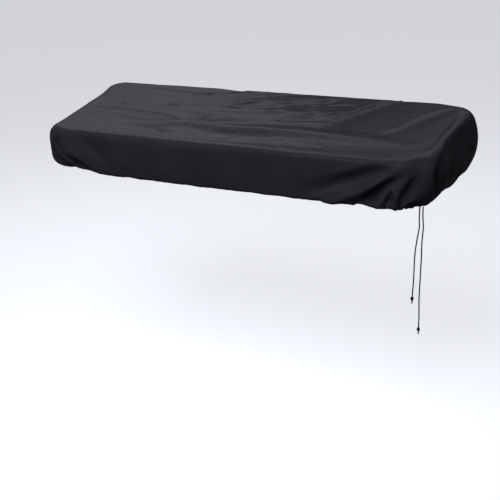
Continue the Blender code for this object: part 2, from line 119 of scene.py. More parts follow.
# Folds of the walls. Each path gives the distance along the wall from the middle of its side, going round
# to the right, and the rise from the bottom of the wall. One that starts near a corner may run on round it
FRONT_FOLDS = [
    # front left: the smooth front panel ends in a crisp edge over a deep dark fold
    dict(path=[(-0.458, 0.112), (-0.452, 0.095), (-0.444, 0.08), (-0.436, 0.066), (-0.424, 0.056),
               (-0.403, 0.049), (-0.38, 0.035), (-0.346, 0.014)],
         height=(0.001, 0.006, 0.01, 0.011, 0.01, 0.006, 0.001), reach=(0.01, 0.056)),
    dict(path=[(-0.466, 0.104), (-0.462, 0.08), (-0.452, 0.06), (-0.434, 0.044), (-0.41, 0.036),
               (-0.386, 0.022), (-0.36, 0.004)],
         height=(-0.003, -0.011, -0.015, -0.016, -0.014, -0.01, -0.002), reach=(0.066, 0.013)),
    dict(path=[(-0.49, 0.098), (-0.482, 0.078), (-0.472, 0.058), (-0.459, 0.041), (-0.44, 0.028),
               (-0.415, 0.018)],
         height=(0.001, 0.003, 0.004, 0.004, 0.003, 0.001), reach=(0.009, 0.009)),
    dict(path=[(-0.5, 0.078), (-0.49, 0.056), (-0.478, 0.038), (-0.462, 0.024), (-0.44, 0.014),
               (-0.415, 0.006)],
         height=(-0.001, -0.004, -0.006, -0.006, -0.003), reach=(0.01, 0.009)),
    dict(path=[(-0.51, 0.06), (-0.496, 0.036), (-0.478, 0.018), (-0.456, 0.006)],
         height=(0, 0.004, 0.005, 0.002), reach=(0.009, 0.009)),
    dict(path=[(-0.392, 0.108), (-0.368, 0.084), (-0.338, 0.058), (-0.312, 0.03)],
         height=(-0.001, -0.003, -0.003, -0.001), reach=(0.02, 0.024)),
    # front right: folds that spread from one point of the top edge and sweep down to the left
    dict(path=[(0.402, 0.118), (0.345, 0.103), (0.3, 0.085), (0.262, 0.07)],
         height=(0, 0.002, 0.003, 0), reach=(0.014, 0.016)),
    dict(path=[(0.432, 0.114), (0.415, 0.107), (0.385, 0.094), (0.354, 0.08), (0.322, 0.066),
               (0.288, 0.054), (0.25, 0.04), (0.19, 0.018)],
         height=(0, -0.003, -0.009, -0.012, -0.01, -0.006, -0.001), reach=(0.034, 0.016)),
    dict(path=[(0.439, 0.111), (0.417, 0.098), (0.397, 0.085), (0.376, 0.07), (0.354, 0.055),
               (0.322, 0.037), (0.288, 0.021), (0.254, 0.006)],
         height=(0, 0.001, 0.006, 0.01, 0.01, 0.008, 0.003), reach=(0.015, 0.016)),
    dict(path=[(0.442, 0.104), (0.428, 0.092), (0.413, 0.079), (0.397, 0.066), (0.377, 0.048),
               (0.356, 0.031), (0.332, 0.012)],
         height=(0, -0.004, -0.012, -0.018, -0.016, -0.01), reach=(0.02, 0.026)),
    dict(path=[(0.448, 0.098), (0.431, 0.081), (0.419, 0.067), (0.403, 0.057), (0.387, 0.046),
               (0.377, 0.026), (0.373, 0.008)],
         height=(0, 0.001, 0.004, 0.006, 0.006, 0.002), reach=(0.014, 0.012)),
    # the little curl at the hem
    dict(path=[(0.402, 0.044), (0.396, 0.03), (0.393, 0.01)],
         height=(-0.004, -0.016, -0.01), reach=(0.012, 0.01)),
    dict(path=[(0.402, 0.055), (0.411, 0.044), (0.413, 0.024), (0.409, 0.006)],
         height=(0.003, 0.007, 0.007, 0.003), reach=(0.007, 0.007)),
    dict(path=[(0.456, 0.088), (0.44, 0.068), (0.427, 0.046), (0.422, 0.028), (0.424, 0.01)],
         height=(-0.001, -0.009, -0.013, -0.012, -0.005), reach=(0.01, 0.04)),
    # the dark opening that the drawstring pulls in the hem beside its ends
    dict(path=[(0.43, 0.01), (0.446, 0.02), (0.464, 0.021), (0.48, 0.01)],
         height=(0, -0.012, -0.013, 0), reach=(0.026, 0.008)),
    # the small step in the smooth corner panel
    dict(path=[(0.449, 0.096), (0.474, 0.093), (0.5, 0.091)], height=(0, 0.001, 0), reach=(0.016, 0.02)),
    # the crest that runs up the far side of that panel and on below the top of the right end, and the
    # hollow that it hangs over
    dict(path=[(0.502, 0.034), (0.491, 0.062), (0.488, 0.086), (0.497, 0.108), (0.522, 0.127),
               (0.552, 0.138), (0.577, 0.145), (0.615, 0.152), (0.659, 0.158), (0.695, 0.161),
               (0.742, 0.166)],
         height=(0.003, 0.009, 0.01, 0.006, 0.005, 0.006, 0.007, 0.007, 0.006, 0.004, 0),
         reach=(0.012, 0.04)),
    dict(path=[(0.516, 0.108), (0.508, 0.086), (0.511, 0.058), (0.523, 0.034)],
         height=(-0.002, -0.009, -0.01, -0.004), reach=(0.01, 0.04)),
    dict(path=[(0.56, 0.112), (0.546, 0.097), (0.53, 0.08)],
         height=(0.001, 0.004, 0.001), reach=(0.008, 0.009)),
]
RIGHT_FOLDS = [
    # a long hollow under the crest, then soft upright folds down to a drawn-up hem
    dict(path=[(-0.06, 0.112), (-0.015, 0.124), (0.035, 0.132), (0.085, 0.138)],
         height=(0, -0.005, -0.006, -0.005, 0), reach=(0.06, 0.018)),
    dict(path=[(-0.066, 0.08), (-0.06, 0.062), (-0.052, 0.048)],
         height=(0.001, 0.003, 0.001), reach=(0.006, 0.006)),
    dict(path=[(-0.04, 0.1), (-0.044, 0.06), (-0.036, 0)],
         height=(-0.002, -0.006, -0.006), reach=(0.018, 0.018)),
    dict(path=[(0.034, 0.112), (0.024, 0.07), (0.022, 0.034), (0.024, -0.01)],
         height=(0.001, 0.004, 0.005, 0.006), reach=(0.02, 0.016)),
    dict(path=[(0.062, 0.08), (0.056, 0.044), (0.06, 0)],
         height=(-0.001, -0.003, -0.005), reach=(0.012, 0.012)),
    dict(path=[(0.095, 0.07), (0.088, 0.034), (0.092, -0.012)],
         height=(0.001, 0.003, -0.003), reach=(0.018, 0.018)),
]
REAR_FOLDS = [
    dict(path=[(-0.45, 0.13), (-0.4, 0.07), (-0.37, -0.006)],
         height=(0.003, 0.007), reach=(0.024, 0.024)),
    dict(path=[(-0.39, 0.11), (-0.35, 0.06), (-0.325, -0.006)],
         height=(-0.002, -0.006), reach=(0.022, 0.022)),
    dict(path=[(-0.3, 0.09), (-0.285, 0.05), (-0.276, 0)],
         height=(0.001, 0.003, 0.002), reach=(0.014, 0.014)),
    dict(path=[(-0.12, 0.09), (-0.09, 0.04), (-0.08, -0.006)], height=(0.001, 0.005), reach=(0.04, 0.04)),
    dict(path=[(0, 0.12), (0.012, 0.06), (0.01, 0)],
         height=(-0.001, -0.003, -0.002), reach=(0.026, 0.02)),
    dict(path=[(0.13, 0.1), (0.15, 0.05), (0.158, -0.006)],
         height=(-0.001, -0.005), reach=(0.036, 0.036)),
    dict(path=[(0.44, 0.13), (0.41, 0.07), (0.388, -0.006)], height=(0.003, 0.007), reach=(0.024, 0.024)),
    dict(path=[(0.4, 0.1), (0.366, 0.05), (0.35, -0.006)], height=(-0.002, -0.006), reach=(0.022, 0.022)),
    dict(path=[(0.33, 0.08), (0.318, 0.04), (0.312, 0)],
         height=(0.001, 0.003, 0.002), reach=(0.014, 0.014)),
]
LEFT_FOLDS = [
    dict(path=[(-0.07, 0.11), (-0.06, 0.05), (-0.064, -0.01)],
         height=(0.002, 0.006), reach=(0.024, 0.024)),
    dict(path=[(0, 0.09), (0.004, 0.04), (0, -0.01)], height=(-0.002, -0.006), reach=(0.022, 0.022)),
    dict(path=[(0.04, 0.08), (0.036, 0.04), (0.034, 0)],
         height=(0.001, 0.003, 0.002), reach=(0.012, 0.012)),
    dict(path=[(0.08, 0.09), (0.07, 0.04), (0.06, -0.01)], height=(0.002, 0.006), reach=(0.022, 0.022)),
]
WALL_FOLDS = dict(front=FRONT_FOLDS, right=RIGHT_FOLDS, rear=REAR_FOLDS, left=LEFT_FOLDS)

# Patches of small wrinkles that the cloth keeps from being stored folded. Each lies between two places in
# plan or on a wall, and gives how many, their length, half width, height and lean from the patch's length
TOP_WRINKLES = [
    dict(low=(-0.26, 0.04), high=(0.22, 0.15), count=38, long=(0.06, 0.14), wide=(0.007, 0.013),
         height=0.0028, lean=(4, 30)),
    dict(low=(-0.4, -0.06), high=(0.14, 0.06), count=22, long=(0.05, 0.13), wide=(0.009, 0.016),
         height=0.0022, lean=(-12, 10)),
    dict(low=(-0.36, -0.155), high=(0.3, -0.095), count=16, long=(0.04, 0.11), wide=(0.006, 0.011),
         height=0.001, lean=(-12, 8)),
    dict(low=(0.3, -0.04), high=(0.46, 0.14), count=8, long=(0.05, 0.1), wide=(0.012, 0.02),
         height=0.0007, lean=(40, 66)),
]
WALL_WRINKLES = {
    "front": dict(low=(-0.32, 0.02), high=(0.26, 0.09), count=10, long=(0.05, 0.12),
                  wide=(0.01, 0.018), height=0.0008, lean=(-30, 20)),
    "right": dict(low=(-0.1, 0.02), high=(0.12, 0.1), count=14, long=(0.02, 0.05),
                  wide=(0.005, 0.009), height=0.0012, lean=(60, 120)),
    "rear": dict(low=(-0.44, 0.01), high=(0.44, 0.14), count=26, long=(0.03, 0.09),
                 wide=(0.007, 0.014), height=0.0012, lean=(50, 120)),
    "left": dict(low=(-0.12, 0.01), high=(0.12, 0.11), count=12, long=(0.025, 0.06),
                 wide=(0.006, 0.011), height=0.0012, lean=(60, 120)),
}
# A wrinkle bends off its straight line by up to this share of its half length, has at least this share of
# its patch's height, and may reach this many times as far on its left as on its right
WRINKLE_BEND = 0.3
WRINKLE_LEAST = 0.5
WRINKLE_LOPSIDED = 1.8
WRINKLE_SEED = 61

# The gathers that the drawstring makes in the hem: their spacing, where they start, their height and the
# height over which they die out up the wall
GATHERS = [
    dict(spacing=0.083, start=0.01, height=0.0004, reach=0.045),
    dict(spacing=0.056, start=0.031, height=0.0003, reach=0.04),
    dict(spacing=0.0237, start=0.004, height=0.0002, reach=0.014),
    dict(spacing=0.0171, start=0.009, height=0.0002, reach=0.01),
]
# At a corner they are this many times as high, which fades out this far round from it
CORNER_GATHERS = 3
GATHER_CORNER = 0.11
# Under the hem finer gathers draw together, over this height
TUCK_GATHERS = [
    dict(spacing=0.0131, start=0.002, height=0.0007),
    dict(spacing=0.0093, start=0, height=0.0005),
]
TUCK_GATHERS_RISE = 0.020

# Cells of the finished sheet: along the length and across the depth, the share of them within each share
# of the length, and the rows of the wall from the crown of the top down to the rim of the hem
CELLS_LONG = 230
CELLS_ACROSS = 80
SPREAD_LONG = [(0.0, 0.0), (0.15, 0.19), (0.60, 0.54), (1.0, 1.0)]
ROWS = {"edge": 6, "hanging": 23, "turn": 11, "tuck": 8}
# Points along half of a corner's curve, and along each span of a fold's path
CORNER_STEPS = 24
PATH_STEPS = 6
# The sizes of a corner blend into its walls over this length, the wall's folds fade in over this run below
# the crown, and the slope of the top at the crown is taken over this length
CORNER_BLEND = 0.100
CROWN_FADE = 0.012
SLOPE_PROBE = 0.006
# How often the places inside the crown are evened out between their neighbours
GRID_EVENING = 400
# The real cloth is about half as thick, and this thick where its hem is turned double
SHEET_THICKNESS = 0.001
# Threads of the real 0.3 mm are too fine to see here, so the weave is drawn with wider ones
WEAVE_THREAD = 0.0016
# The dye is cloudy, and the cloth rippled from being stored, over about these sizes
DYE_CLOUD = 0.1111
STORAGE_RIPPLE = 0.01818

# Which end and side each corner lies on, and along which axis and which way each side is walked
CORNER_SIDES = dict(front_left=(-1, -1), front_right=(1, -1), rear_right=(1, 1), rear_left=(-1, 1))
SIDE_WAYS = dict(front=(0, 1), right=(1, 1), rear=(0, -1), left=(1, -1))

# ---- hem stitches and drawstring

# Lockstitches close the casing of the drawstring, this far before the rim. The cord inside puffs the
# casing up, and the seam pulls the cloth in. Unevenness is by what share a stitch's size may be out
STITCH_INSET = 0.012
STITCH_SPACING = 0.0042
STITCH_LENGTH = 0.0031
THREAD_DIAMETER = 0.0006
SPUN_FIBRE = 0.000333
STITCH_PROUD = 0.00015
STITCH_UNEVENNESS = 0.08
STITCH_SEED = 7
CASING_PUFF = 0.0009
SEAM_DENT = 0.0005
SEAM_REACH = 0.004

CORD_DIAMETER = 0.003
BRAID_RIB = 0.0024
CORD_STEPS = 3
CORD_SIDES = 2
# Each route lists x, y and the height above the bottom of the wall, from the hem down
CORDS = {
    "front": [
        (0.4552, -0.127, 0.0031), (0.4552, -0.127, -0.013), (0.4559, -0.127, -0.028),
        (0.4571, -0.1269, -0.042), (0.4562, -0.1268, -0.055), (0.4546, -0.1267, -0.069),
        (0.4532, -0.1267, -0.083), (0.4521, -0.1268, -0.097), (0.4515, -0.127, -0.112),
        (0.4514, -0.1272, -0.127), (0.4518, -0.1274, -0.142), (0.4523, -0.1275, -0.157),
        (0.4526, -0.1275, -0.172), (0.4525, -0.1274, -0.187), (0.4522, -0.1273, -0.202),
        (0.4519, -0.1272, -0.217),
    ],
    "rear": [
        (0.4601, -0.115, -0.0019), (0.4602, -0.115, -0.014), (0.4612, -0.115, -0.028),
        (0.463, -0.1149, -0.043), (0.4635, -0.1148, -0.056), (0.4629, -0.1147, -0.07),
        (0.4628, -0.1146, -0.087), (0.4632, -0.1146, -0.105), (0.4641, -0.1146, -0.123),
        (0.4643, -0.1147, -0.143), (0.4646, -0.1148, -0.163), (0.4649, -0.1149, -0.183),
        (0.4651, -0.115, -0.203), (0.4656, -0.115, -0.225), (0.4668, -0.115, -0.247),
        (0.4682, -0.115, -0.267), (0.4689, -0.115, -0.285), (0.469, -0.115, -0.3),
    ],
}
# Each end is stopped by a barrel knot: the cord wrapped round itself, with a short tail below
KNOT_GAP = 0.0003
KNOT_WRAPS = 2.25
KNOT_WRAP_RADIUS = 0.0024
KNOT_LENGTH = 0.01
KNOT_TAIL = 0.007
KNOT_STEPS = 12
# The wraps start and end at these shares of the knot's length
KNOT_WRAPS_FROM = 0.16
KNOT_WRAPS_TO = 0.82

# ---- camera, floor and light

# The focal length is in pixels of a picture this wide, and the angles are in degrees
FOCAL_PIXELS = 753.3
PICTURE_PIXELS = 500
SENSOR_WIDTH = 36.0
CAMERA_AZIMUTH = 24.63
CAMERA_ELEVATION = 23.58
CAMERA_ROLL = -1.51
# x, y and the height above the bottom of the wall
CAMERA_PLACE = (0.7561, -1.6732, 0.5789)
CAMERA_SIGHT = 100.0

FLOOR_DROP = 0.80
FLOOR_WIDTH = 60.0
FLOOR_GLOW = 0.68

# Name, place and power in watts
SOFT_LIGHTS = [
    ("left rear", (-1.3, 1.25, 1.25), 3.0),
    ("right rear", (0.75, 1.45, 1.35), 2.4),
    ("overhead left", (-0.95, 1.05, 1.75), 3.0),
    ("overhead rear", (-0.1, 1.2, 1.85), 4.0),
    ("left", (-1.8, 0.5, 1.1), 1.0),
    ("high left", (-0.9, -1.3, 1.6), 2.4),
    ("high front", (-0.1, -1.55, 1.55), 35.0),
    ("front", (0.3, -1.9, 1.0), 5.5),
    ("high right", (0.9, -1.3, 1.55), 1.5),
]
SOFT_LIGHT_WIDTH = 1.3
SOFT_LIGHT_COLOUR = "#edf0fc"
SOFT_LIGHT_AIM = (0.0, 0.0, -0.05)
SURROUND_COLOUR = "#eef1f8"
SURROUND_STRENGTH = 0.045


def smooth_step(value):
    """0 below 0, 1 above 1 and a soft rise between."""
    value = np.clip(value, 0.0, 1.0)
    return value * value * (3.0 - 2.0 * value)


def smooth_path(points, steps):
    """A smooth curve through the points, with this many short lengths to each span."""
    points = np.array(points, dtype=float)
    points = np.vstack([2 * points[0] - points[1], points, 2 * points[-1] - points[-2]])
    t = (np.arange(steps) / steps)[:, None]
    spans = []
    for before, start, end, after in zip(points, points[1:], points[2:], points[3:]):
        bend = 2 * before - 5 * start + 4 * end - after
        twist = 3 * start - before - 3 * end + after
        spans.append(start + 0.5 * ((end - before) * t + bend * t ** 2 + twist * t ** 3))
    return np.vstack(spans + [points[-2:-1]])


def fold_height(fold, across, up):
    """Height of one fold at the places (across, up) of the surface that it lies on."""
    path = smooth_path(fold["path"], PATH_STEPS)
    height = np.zeros(across.shape)
    widest = max(fold["reach"])
    low, high = path.min(0) - widest, path.max(0) + widest
    near = (across > low[0]) & (across < high[0]) & (up > low[1]) & (up < high[1])
    if not near.any():
        return height
    start, step = path[:-1], np.diff(path, axis=0)
    length = np.hypot(step[:, 0], step[:, 1])
    offset = np.stack([across[near], up[near]], axis=-1)[:, None, :] - start
    along = np.clip((offset * step).sum(-1) / length ** 2, 0.0, 1.0)
    away = offset - along[..., None] * step
    distance = np.hypot(away[..., 0], away[..., 1])
    nearest = distance.argmin(-1)[:, None]
    turn = step[:, 0] * offset[..., 1] - step[:, 1] * offset[..., 0]
    walked = (np.cumsum(length) - length + along * length) / length.sum()
    distance, turn, walked = (
        np.take_along_axis(each, nearest, -1)[..., 0] for each in (distance, turn, walked))
    reach = np.where(turn < 0, fold["reach"][0], fold["reach"][1])
    fall = np.cos(0.5 * math.pi * np.clip(distance / reach, 0.0, 1.0)) ** 2
    height[near] = fall * np.interp(walked, np.linspace(0.0, 1.0, len(fold["height"])), fold["height"])
    return height


def scatter_wrinkles(patch, chance):
    """The small folds of one patch, each a short bent path with tapered ends."""
    wrinkles = []
    for _ in range(patch["count"]):
        middle = np.array([chance.uniform(low, high) for low, high in zip(patch["low"], patch["high"])])
        lean = math.radians(chance.uniform(*patch["lean"]))
        run = np.array([math.cos(lean), math.sin(lean)]) * chance.uniform(*patch["long"]) / 2
        bend = np.array([-run[1], run[0]]) * chance.uniform(-WRINKLE_BEND, WRINKLE_BEND)
        wide = chance.uniform(*patch["wide"])
        high = patch["height"] * chance.uniform(WRINKLE_LEAST, 1.0) * chance.choice((-1, 1))
        reach = (wide, wide * chance.uniform(1.0, WRINKLE_LOPSIDED))
        wrinkles.append(dict(path=[middle - run, middle + bend, middle + run],
                             height=(0.0, high, high, 0.0), reach=reach))
    return wrinkles


def top_height(x, y):
    """Height of the outside of the top above the bottom of the wall."""
    slope = (REAR_HEIGHT - FRONT_HEIGHT) / DEPTH
    plain = FRONT_HEIGHT + slope * (y + DEPTH / 2)
    return plain + sum(fold_height(fold, x, y) for fold in ALL_TOP_FOLDS)


def corner_curve(name, begin, apex, finish):
    """Points round one corner, on a conic that leaves both its sides along them."""
    fullness = CORNERS[name]["fullness"]
    t = np.linspace(0.0, 1.0, 2 * CORNER_STEPS + 1)[:, None]
    weights = [(1 - t) ** 2, 2 * t * (1 - t) * fullness, t ** 2]
    return (weights[0] * begin + weights[1] * apex + weights[2] * finish) / sum(weights)


def plan_outline():
    """The outline in plan: one run of points for each side, from corner middle to corner middle."""
    curves = []
    for name, (right, rear) in CORNER_SIDES.items():
        size = CORNERS[name]
        apex = np.array([right * LENGTH / 2, rear * DEPTH / 2])
        on_long = apex - [right * size["along"], 0.0]
        on_short = apex - [0.0, rear * size["across"]]
        begin, finish = (on_short, on_long) if right == rear else (on_long, on_short)
        curves.append(corner_curve(name, begin, apex, finish))
    sides = {}
    for index, side in enumerate(WALLS):
        points = np.vstack([curves[index][CORNER_STEPS:], curves[(index + 1) % 4][:CORNER_STEPS + 1]])
        points[:, 0] += RIGHT_FLARE * smooth_step(2 * points[:, 0] / LENGTH) * points[:, 1] / DEPTH
        sides[side] = points
    return sides


def stations(side):
    """Fractions of the way along a side, in the direction in which the plan is walked."""
    if side in ("front", "rear"):
        way, share = zip(*SPREAD_LONG)
        fractions = np.interp(np.linspace(0.0, 1.0, CELLS_LONG + 1), share, way)
    else:
        fractions = np.linspace(0.0, 1.0, CELLS_ACROSS + 1)
    return fractions if side in ("front", "right") else 1.0 - fractions[::-1]


def walk_outline():
    """Places once round the outline, how far round each is, and each side's start and middle."""
    places, distance, starts, middles, walked = [], [], [], {}, 0.0
    for side, points in plan_outline().items():
        run = np.concatenate([[0.0], np.cumsum(np.hypot(*np.diff(points, axis=0).T))])
        at = stations(side) * run[-1]
        placed = np.stack([np.interp(at, run, points[:, axis]) for axis in (0, 1)], axis=-1)
        axis, way = SIDE_WAYS[side]
        middles[side] = walked + np.interp(0.0, way * points[:, axis], run)
        starts.append(walked)
        places.append(placed[:-1])
        distance.append(walked + at[:-1])
        walked += run[-1]
    return np.vstack(places), np.concatenate(distance), starts, middles, walked


def round_gap(distance, place, total):
    """How far round the outline each distance is from one place, the shorter way."""
    return np.abs((distance - place + total / 2) % total - total / 2)


def wall_sizes(distance, starts, middles, total):
    """Every wall size at each distance round, blended from side to side at the corners."""
    sizes = {key: np.zeros(distance.shape) for key in WALLS["front"]}
    for side, start, end in zip(WALLS, starts, starts[1:] + [total]):
        share = np.zeros(distance.shape)
        for lap in (-total, 0.0, total):
            after_start = smooth_step((distance + lap - start) / CORNER_BLEND + 0.5)
            before_end = smooth_step((end - distance - lap) / CORNER_BLEND + 0.5)
            share += after_start * before_end
        for key, value in WALLS[side].items():
            if (side, key) == ("front", "edge"):
                value = np.interp(distance - middles["front"], FRONT_EDGE_PLACES, FRONT_EDGE_RADII)
            sizes[key] += share * value
    for corner, start in zip(CORNERS.values(), starts):
        near = smooth_step(1.0 - round_gap(distance, start, total) / CORNER_BLEND)
        for key in ("edge", "turn", "tuck", "lift"):
            sizes[key] += near * (corner[key] - sizes[key])
    return sizes


def wall_direction(places):
    """The level way out of the wall at each place, fanned round the corners."""
    inner = np.array([LENGTH / 2, DEPTH / 2]) - CORNER_REACH
    away = places - np.clip(places, -inner, inner)
    return away / np.hypot(away[:, 0], away[:, 1])[:, None]


def wall_section(sizes, height, top_angle):
    """Each row of the wall below the crown: how far out and down it is, its angle and its length."""
    top, low = np.radians(sizes["top_angle"]), np.radians(sizes["low_angle"])
    edge_drop = sizes["edge"] * (np.cos(top_angle) - np.cos(top))
    turn_drop = sizes["turn"] * (np.cos(low) + 1.0)
    hanging_drop = height - sizes["lift"] - edge_drop - turn_drop
    hanging = hanging_drop * (low - top) / (np.cos(top) - np.cos(low))
    hem = math.radians(HEM_ANGLE)
    parts = [
        (ROWS["edge"], top_angle, top, sizes["edge"] * (top - top_angle)),
        (ROWS["hanging"], top, low, hanging),
        (ROWS["turn"], low, math.pi, sizes["turn"] * (math.pi - low)),
        (ROWS["tuck"], math.pi, hem, sizes["tuck"]),
    ]
    bottom = sum(length for _, _, _, length in parts[:3])
    out, drop, run = np.zeros(height.shape), np.zeros(height.shape), np.zeros(height.shape)
    rows = []
    for count, begin, end, length in parts:
        for row in range(count):
            middle = begin + (end - begin) * (row + 0.5) / count
            out = out + np.cos(middle) * length / count
            drop = drop + np.sin(middle) * length / count
            run = run + length / count
            angle = begin + (end - begin) * (row + 1) / count
            rows.append((out, drop, angle, run, bottom - run))
    return rows


def wall_relief(distance, rise, middles, starts, total):
    """Height of the folds and gathers over the plain wall, at each distance round and rise up it."""
    relief = np.zeros(distance.shape)
    for side, folds in ALL_WALL_FOLDS.items():
        across = (distance - middles[side] + total / 2) % total - total / 2
        for fold in folds:
            relief += fold_height(fold, across, rise)
    to_corner = np.min([round_gap(distance, start, total) for start in starts], axis=0)
    strength = 1.0 + (CORNER_GATHERS - 1.0) * smooth_step(1.0 - to_corner / GATHER_CORNER)
    drawn_in = smooth_step(-rise / TUCK_GATHERS_RISE)
    for gather in GATHERS + TUCK_GATHERS:
        laps = round(total / gather["spacing"])
        wave = np.sin(2 * math.pi * laps * (distance - gather["start"]) / total)
        fade = smooth_step(1.0 - rise / gather["reach"]) * strength if "reach" in gather else drawn_in
        relief += gather["height"] * wave * fade
    return relief


def casing_relief(to_rim):
    """How far the hem stands out over the cord in its casing, and how far its seam pulls it in."""
    puff = CASING_PUFF * np.sin(math.pi * np.clip(to_rim / STITCH_INSET, 0.0, 1.0)) ** 2
    return puff - SEAM_DENT * smooth_step(1.0 - np.abs(to_rim - STITCH_INSET) / SEAM_REACH)


def lay_out_wall():
    """The crown of the top once round and the rows of the wall below it, each with its flat place."""
    places, distance, starts, middles, total = walk_outline()
    sizes = wall_sizes(distance, starts, middles, total)
    away = wall_direction(places)
    crown = places - away * sizes["edge"][:, None]
    height = top_height(crown[:, 0], crown[:, 1])
    behind = crown - away * SLOPE_PROBE
    start_angle = np.arctan((top_height(behind[:, 0], behind[:, 1]) - height) / SLOPE_PROBE)
    rows, flat = [np.column_stack([crown, height])], [crown]
    section = wall_section(sizes, height, start_angle)
    rim = section[-1][3]
    for out, drop, angle, run, rise in section:
        relief = wall_relief(distance, rise, middles, starts, total) * smooth_step(run / CROWN_FADE)
        relief = relief + casing_relief(rim - run)
        level = crown + away * (out + np.sin(angle) * relief)[:, None]
        rows.append(np.column_stack([level, height - drop + np.cos(angle) * relief]))
        flat.append(crown + away * run[:, None])
    return rows, flat


def lay_out_top(crown):
    """The places inside the crown, spread between its four sides, as rows from front to rear."""
    loop = np.vstack([crown, crown[:1]])[:, :2]
    turns = np.cumsum([0, CELLS_LONG, CELLS_ACROSS, CELLS_LONG, CELLS_ACROSS])
    front, right, rear, left = (loop[begin:end + 1] for begin, end in zip(turns, turns[1:]))
    rear, left = rear[::-1], left[::-1]
    u, v = stations("front")[None, :, None], stations("right")[:, None, None]
    sides = (1 - v) * front[None] + v * rear[None] + (1 - u) * left[:, None] + u * right[:, None]
    corners = ((1 - u) * (1 - v) * front[0] + u * (1 - v) * front[-1]
               + (1 - u) * v * rear[0] + u * v * rear[-1])
    plan = sides - corners
    for _ in range(GRID_EVENING):
        beside = plan[:-2, 1:-1] + plan[2:, 1:-1] + plan[1:-1, :-2] + plan[1:-1, 2:]
        plan[1:-1, 1:-1] = beside / 4
    return np.dstack([plan, top_height(plan[..., 0], plan[..., 1])])


def crown_index():
    """Row and column in the top's grid of each place round the crown."""
    front = [(0, column) for column in range(CELLS_LONG)]
    right = [(row, CELLS_LONG) for row in range(CELLS_ACROSS)]
    rear = [(CELLS_ACROSS, column) for column in range(CELLS_LONG, 0, -1)]
    left = [(row, 0) for row in range(CELLS_ACROSS, 0, -1)]
    return front + right + rear + left


def sheet_mesh(rows, flat):
    """The whole sheet as one open surface, with its flat places as a UV map in metres."""
    grid = lay_out_top(rows[0])
    lift = np.array([0.0, 0.0, UNDERSIDE])
    mesh = bmesh.new()
    flat_layer = mesh.loops.layers.uv.new("flat_cloth")
    flat_place = {}

    def add_place(point, flat_point):
        vertex = mesh.verts.new(point - lift)
        flat_place[vertex] = flat_point
        return vertex

    top = [[add_place(point, point[:2]) for point in row] for row in grid]
    for front, rear in zip(top, top[1:]):
        for column in range(len(front) - 1):
            mesh.faces.new((front[column], front[column + 1], rear[column + 1], rear[column]))
    above = [top[row][column] for row, column in crown_index()]
    for row, flat_row in zip(rows[1:], flat[1:]):
        below = [add_place(point, flat_point) for point, flat_point in zip(row, flat_row)]
        for here in range(len(row)):
            after = (here + 1) % len(row)
            mesh.faces.new((above[here], below[here], below[after], above[after]))
        above = below
    for face in mesh.faces:
        face.smooth = True
        for loop in face.loops:
            loop[flat_layer].uv = flat_place[loop.vert]
    return mesh


def new_object(name, data):
    """An object at the origin of the scene."""
    result = bpy.data.objects.new(name, data)
    bpy.context.scene.collection.objects.link(result)
    return result


def object_from_mesh(name, mesh, material):
    """A finished object from a bmesh."""
    data = bpy.data.meshes.new(name)
    mesh.to_mesh(data)
    mesh.free()
    data.materials.append(material)
    return new_object(name, data)


def freeze(source, name):
    """A plain mesh object with all of the source's modifiers made part of it."""
    graph = bpy.context.evaluated_depsgraph_get()
    data = bpy.data.meshes.new_from_object(source.evaluated_get(graph))
    data.name = name
    frozen = new_object(name, data)
    bpy.data.objects.remove(source)
    return frozen


def make_cover_cloth(rows, flat, material):
    """The draped sheet with the thickness of its cloth."""
    open_sheet = object_from_mesh("open_sheet", sheet_mesh(rows, flat), material)
    shell = open_sheet.modifiers.new("cloth thickness", "SOLIDIFY")
    shell.thickness = SHEET_THICKNESS
    shell.offset = -1.0
    return freeze(open_sheet, "draped_cloth")


# ---- drawstring and knots


def round_cord(name, points, material):
    """A round cord along the points, closed at both ends."""
    curve = bpy.data.curves.new(name, "CURVE")
    curve.dimensions = "3D"
    curve.bevel_depth = CORD_DIAMETER / 2
    curve.bevel_resolution = CORD_SIDES
    curve.use_fill_caps = True
    spline = curve.splines.new("POLY")
    spline.points.add(len(points) - 1)
    for target, point in zip(spline.points, points):
        target.co = (*point, 1.0)
    spline.use_smooth = True
    curve.materials.append(material)
    return new_object(name, curve)


def make_cord(end, route, material):
    """One free end of the drawstring, and the points along it."""
    points = smooth_path(route, CORD_STEPS) - [0.0, 0.0, UNDERSIDE]
    return round_cord(f"drawstring_end_{end}", points, material), points


def knot_line(top):
    """The line of the cord through its barrel knot: in at the top, wrapped round, out as a short tail."""
    wraps = []
    for step in range(round(KNOT_WRAPS * KNOT_STEPS) + 1):
        share = step / (KNOT_WRAPS * KNOT_STEPS)
        angle = 2 * math.pi * KNOT_WRAPS * share
        height = -KNOT_LENGTH * (KNOT_WRAPS_FROM + (KNOT_WRAPS_TO - KNOT_WRAPS_FROM) * share)
        wraps.append((KNOT_WRAP_RADIUS * math.cos(angle), KNOT_WRAP_RADIUS * math.sin(angle), height))
    # The cord wanders a little off the knot's middle line above and below the wraps
    enter = [(0.0, 0.0, 0.0), (0.0008, -0.0006, -0.08 * KNOT_LENGTH)]
    tail = [(0.0006, 0.0010, -0.95 * KNOT_LENGTH), (0.0003, 0.0004, -KNOT_LENGTH - 0.5 * KNOT_TAIL),
            (0.0006, -0.0004, -KNOT_LENGTH - KNOT_TAIL)]
    return np.array(enter + wraps + tail) + top


def make_knot(end, top, material):
    """The barrel knot at one cord's end."""
    points = knot_line(np.array(top) - [0.0, 0.0, KNOT_GAP])
    return freeze(round_cord(f"knot_line_{end}", points, material), f"barrel_knot_{end}")


# ---- nodes, and the hem's stitches


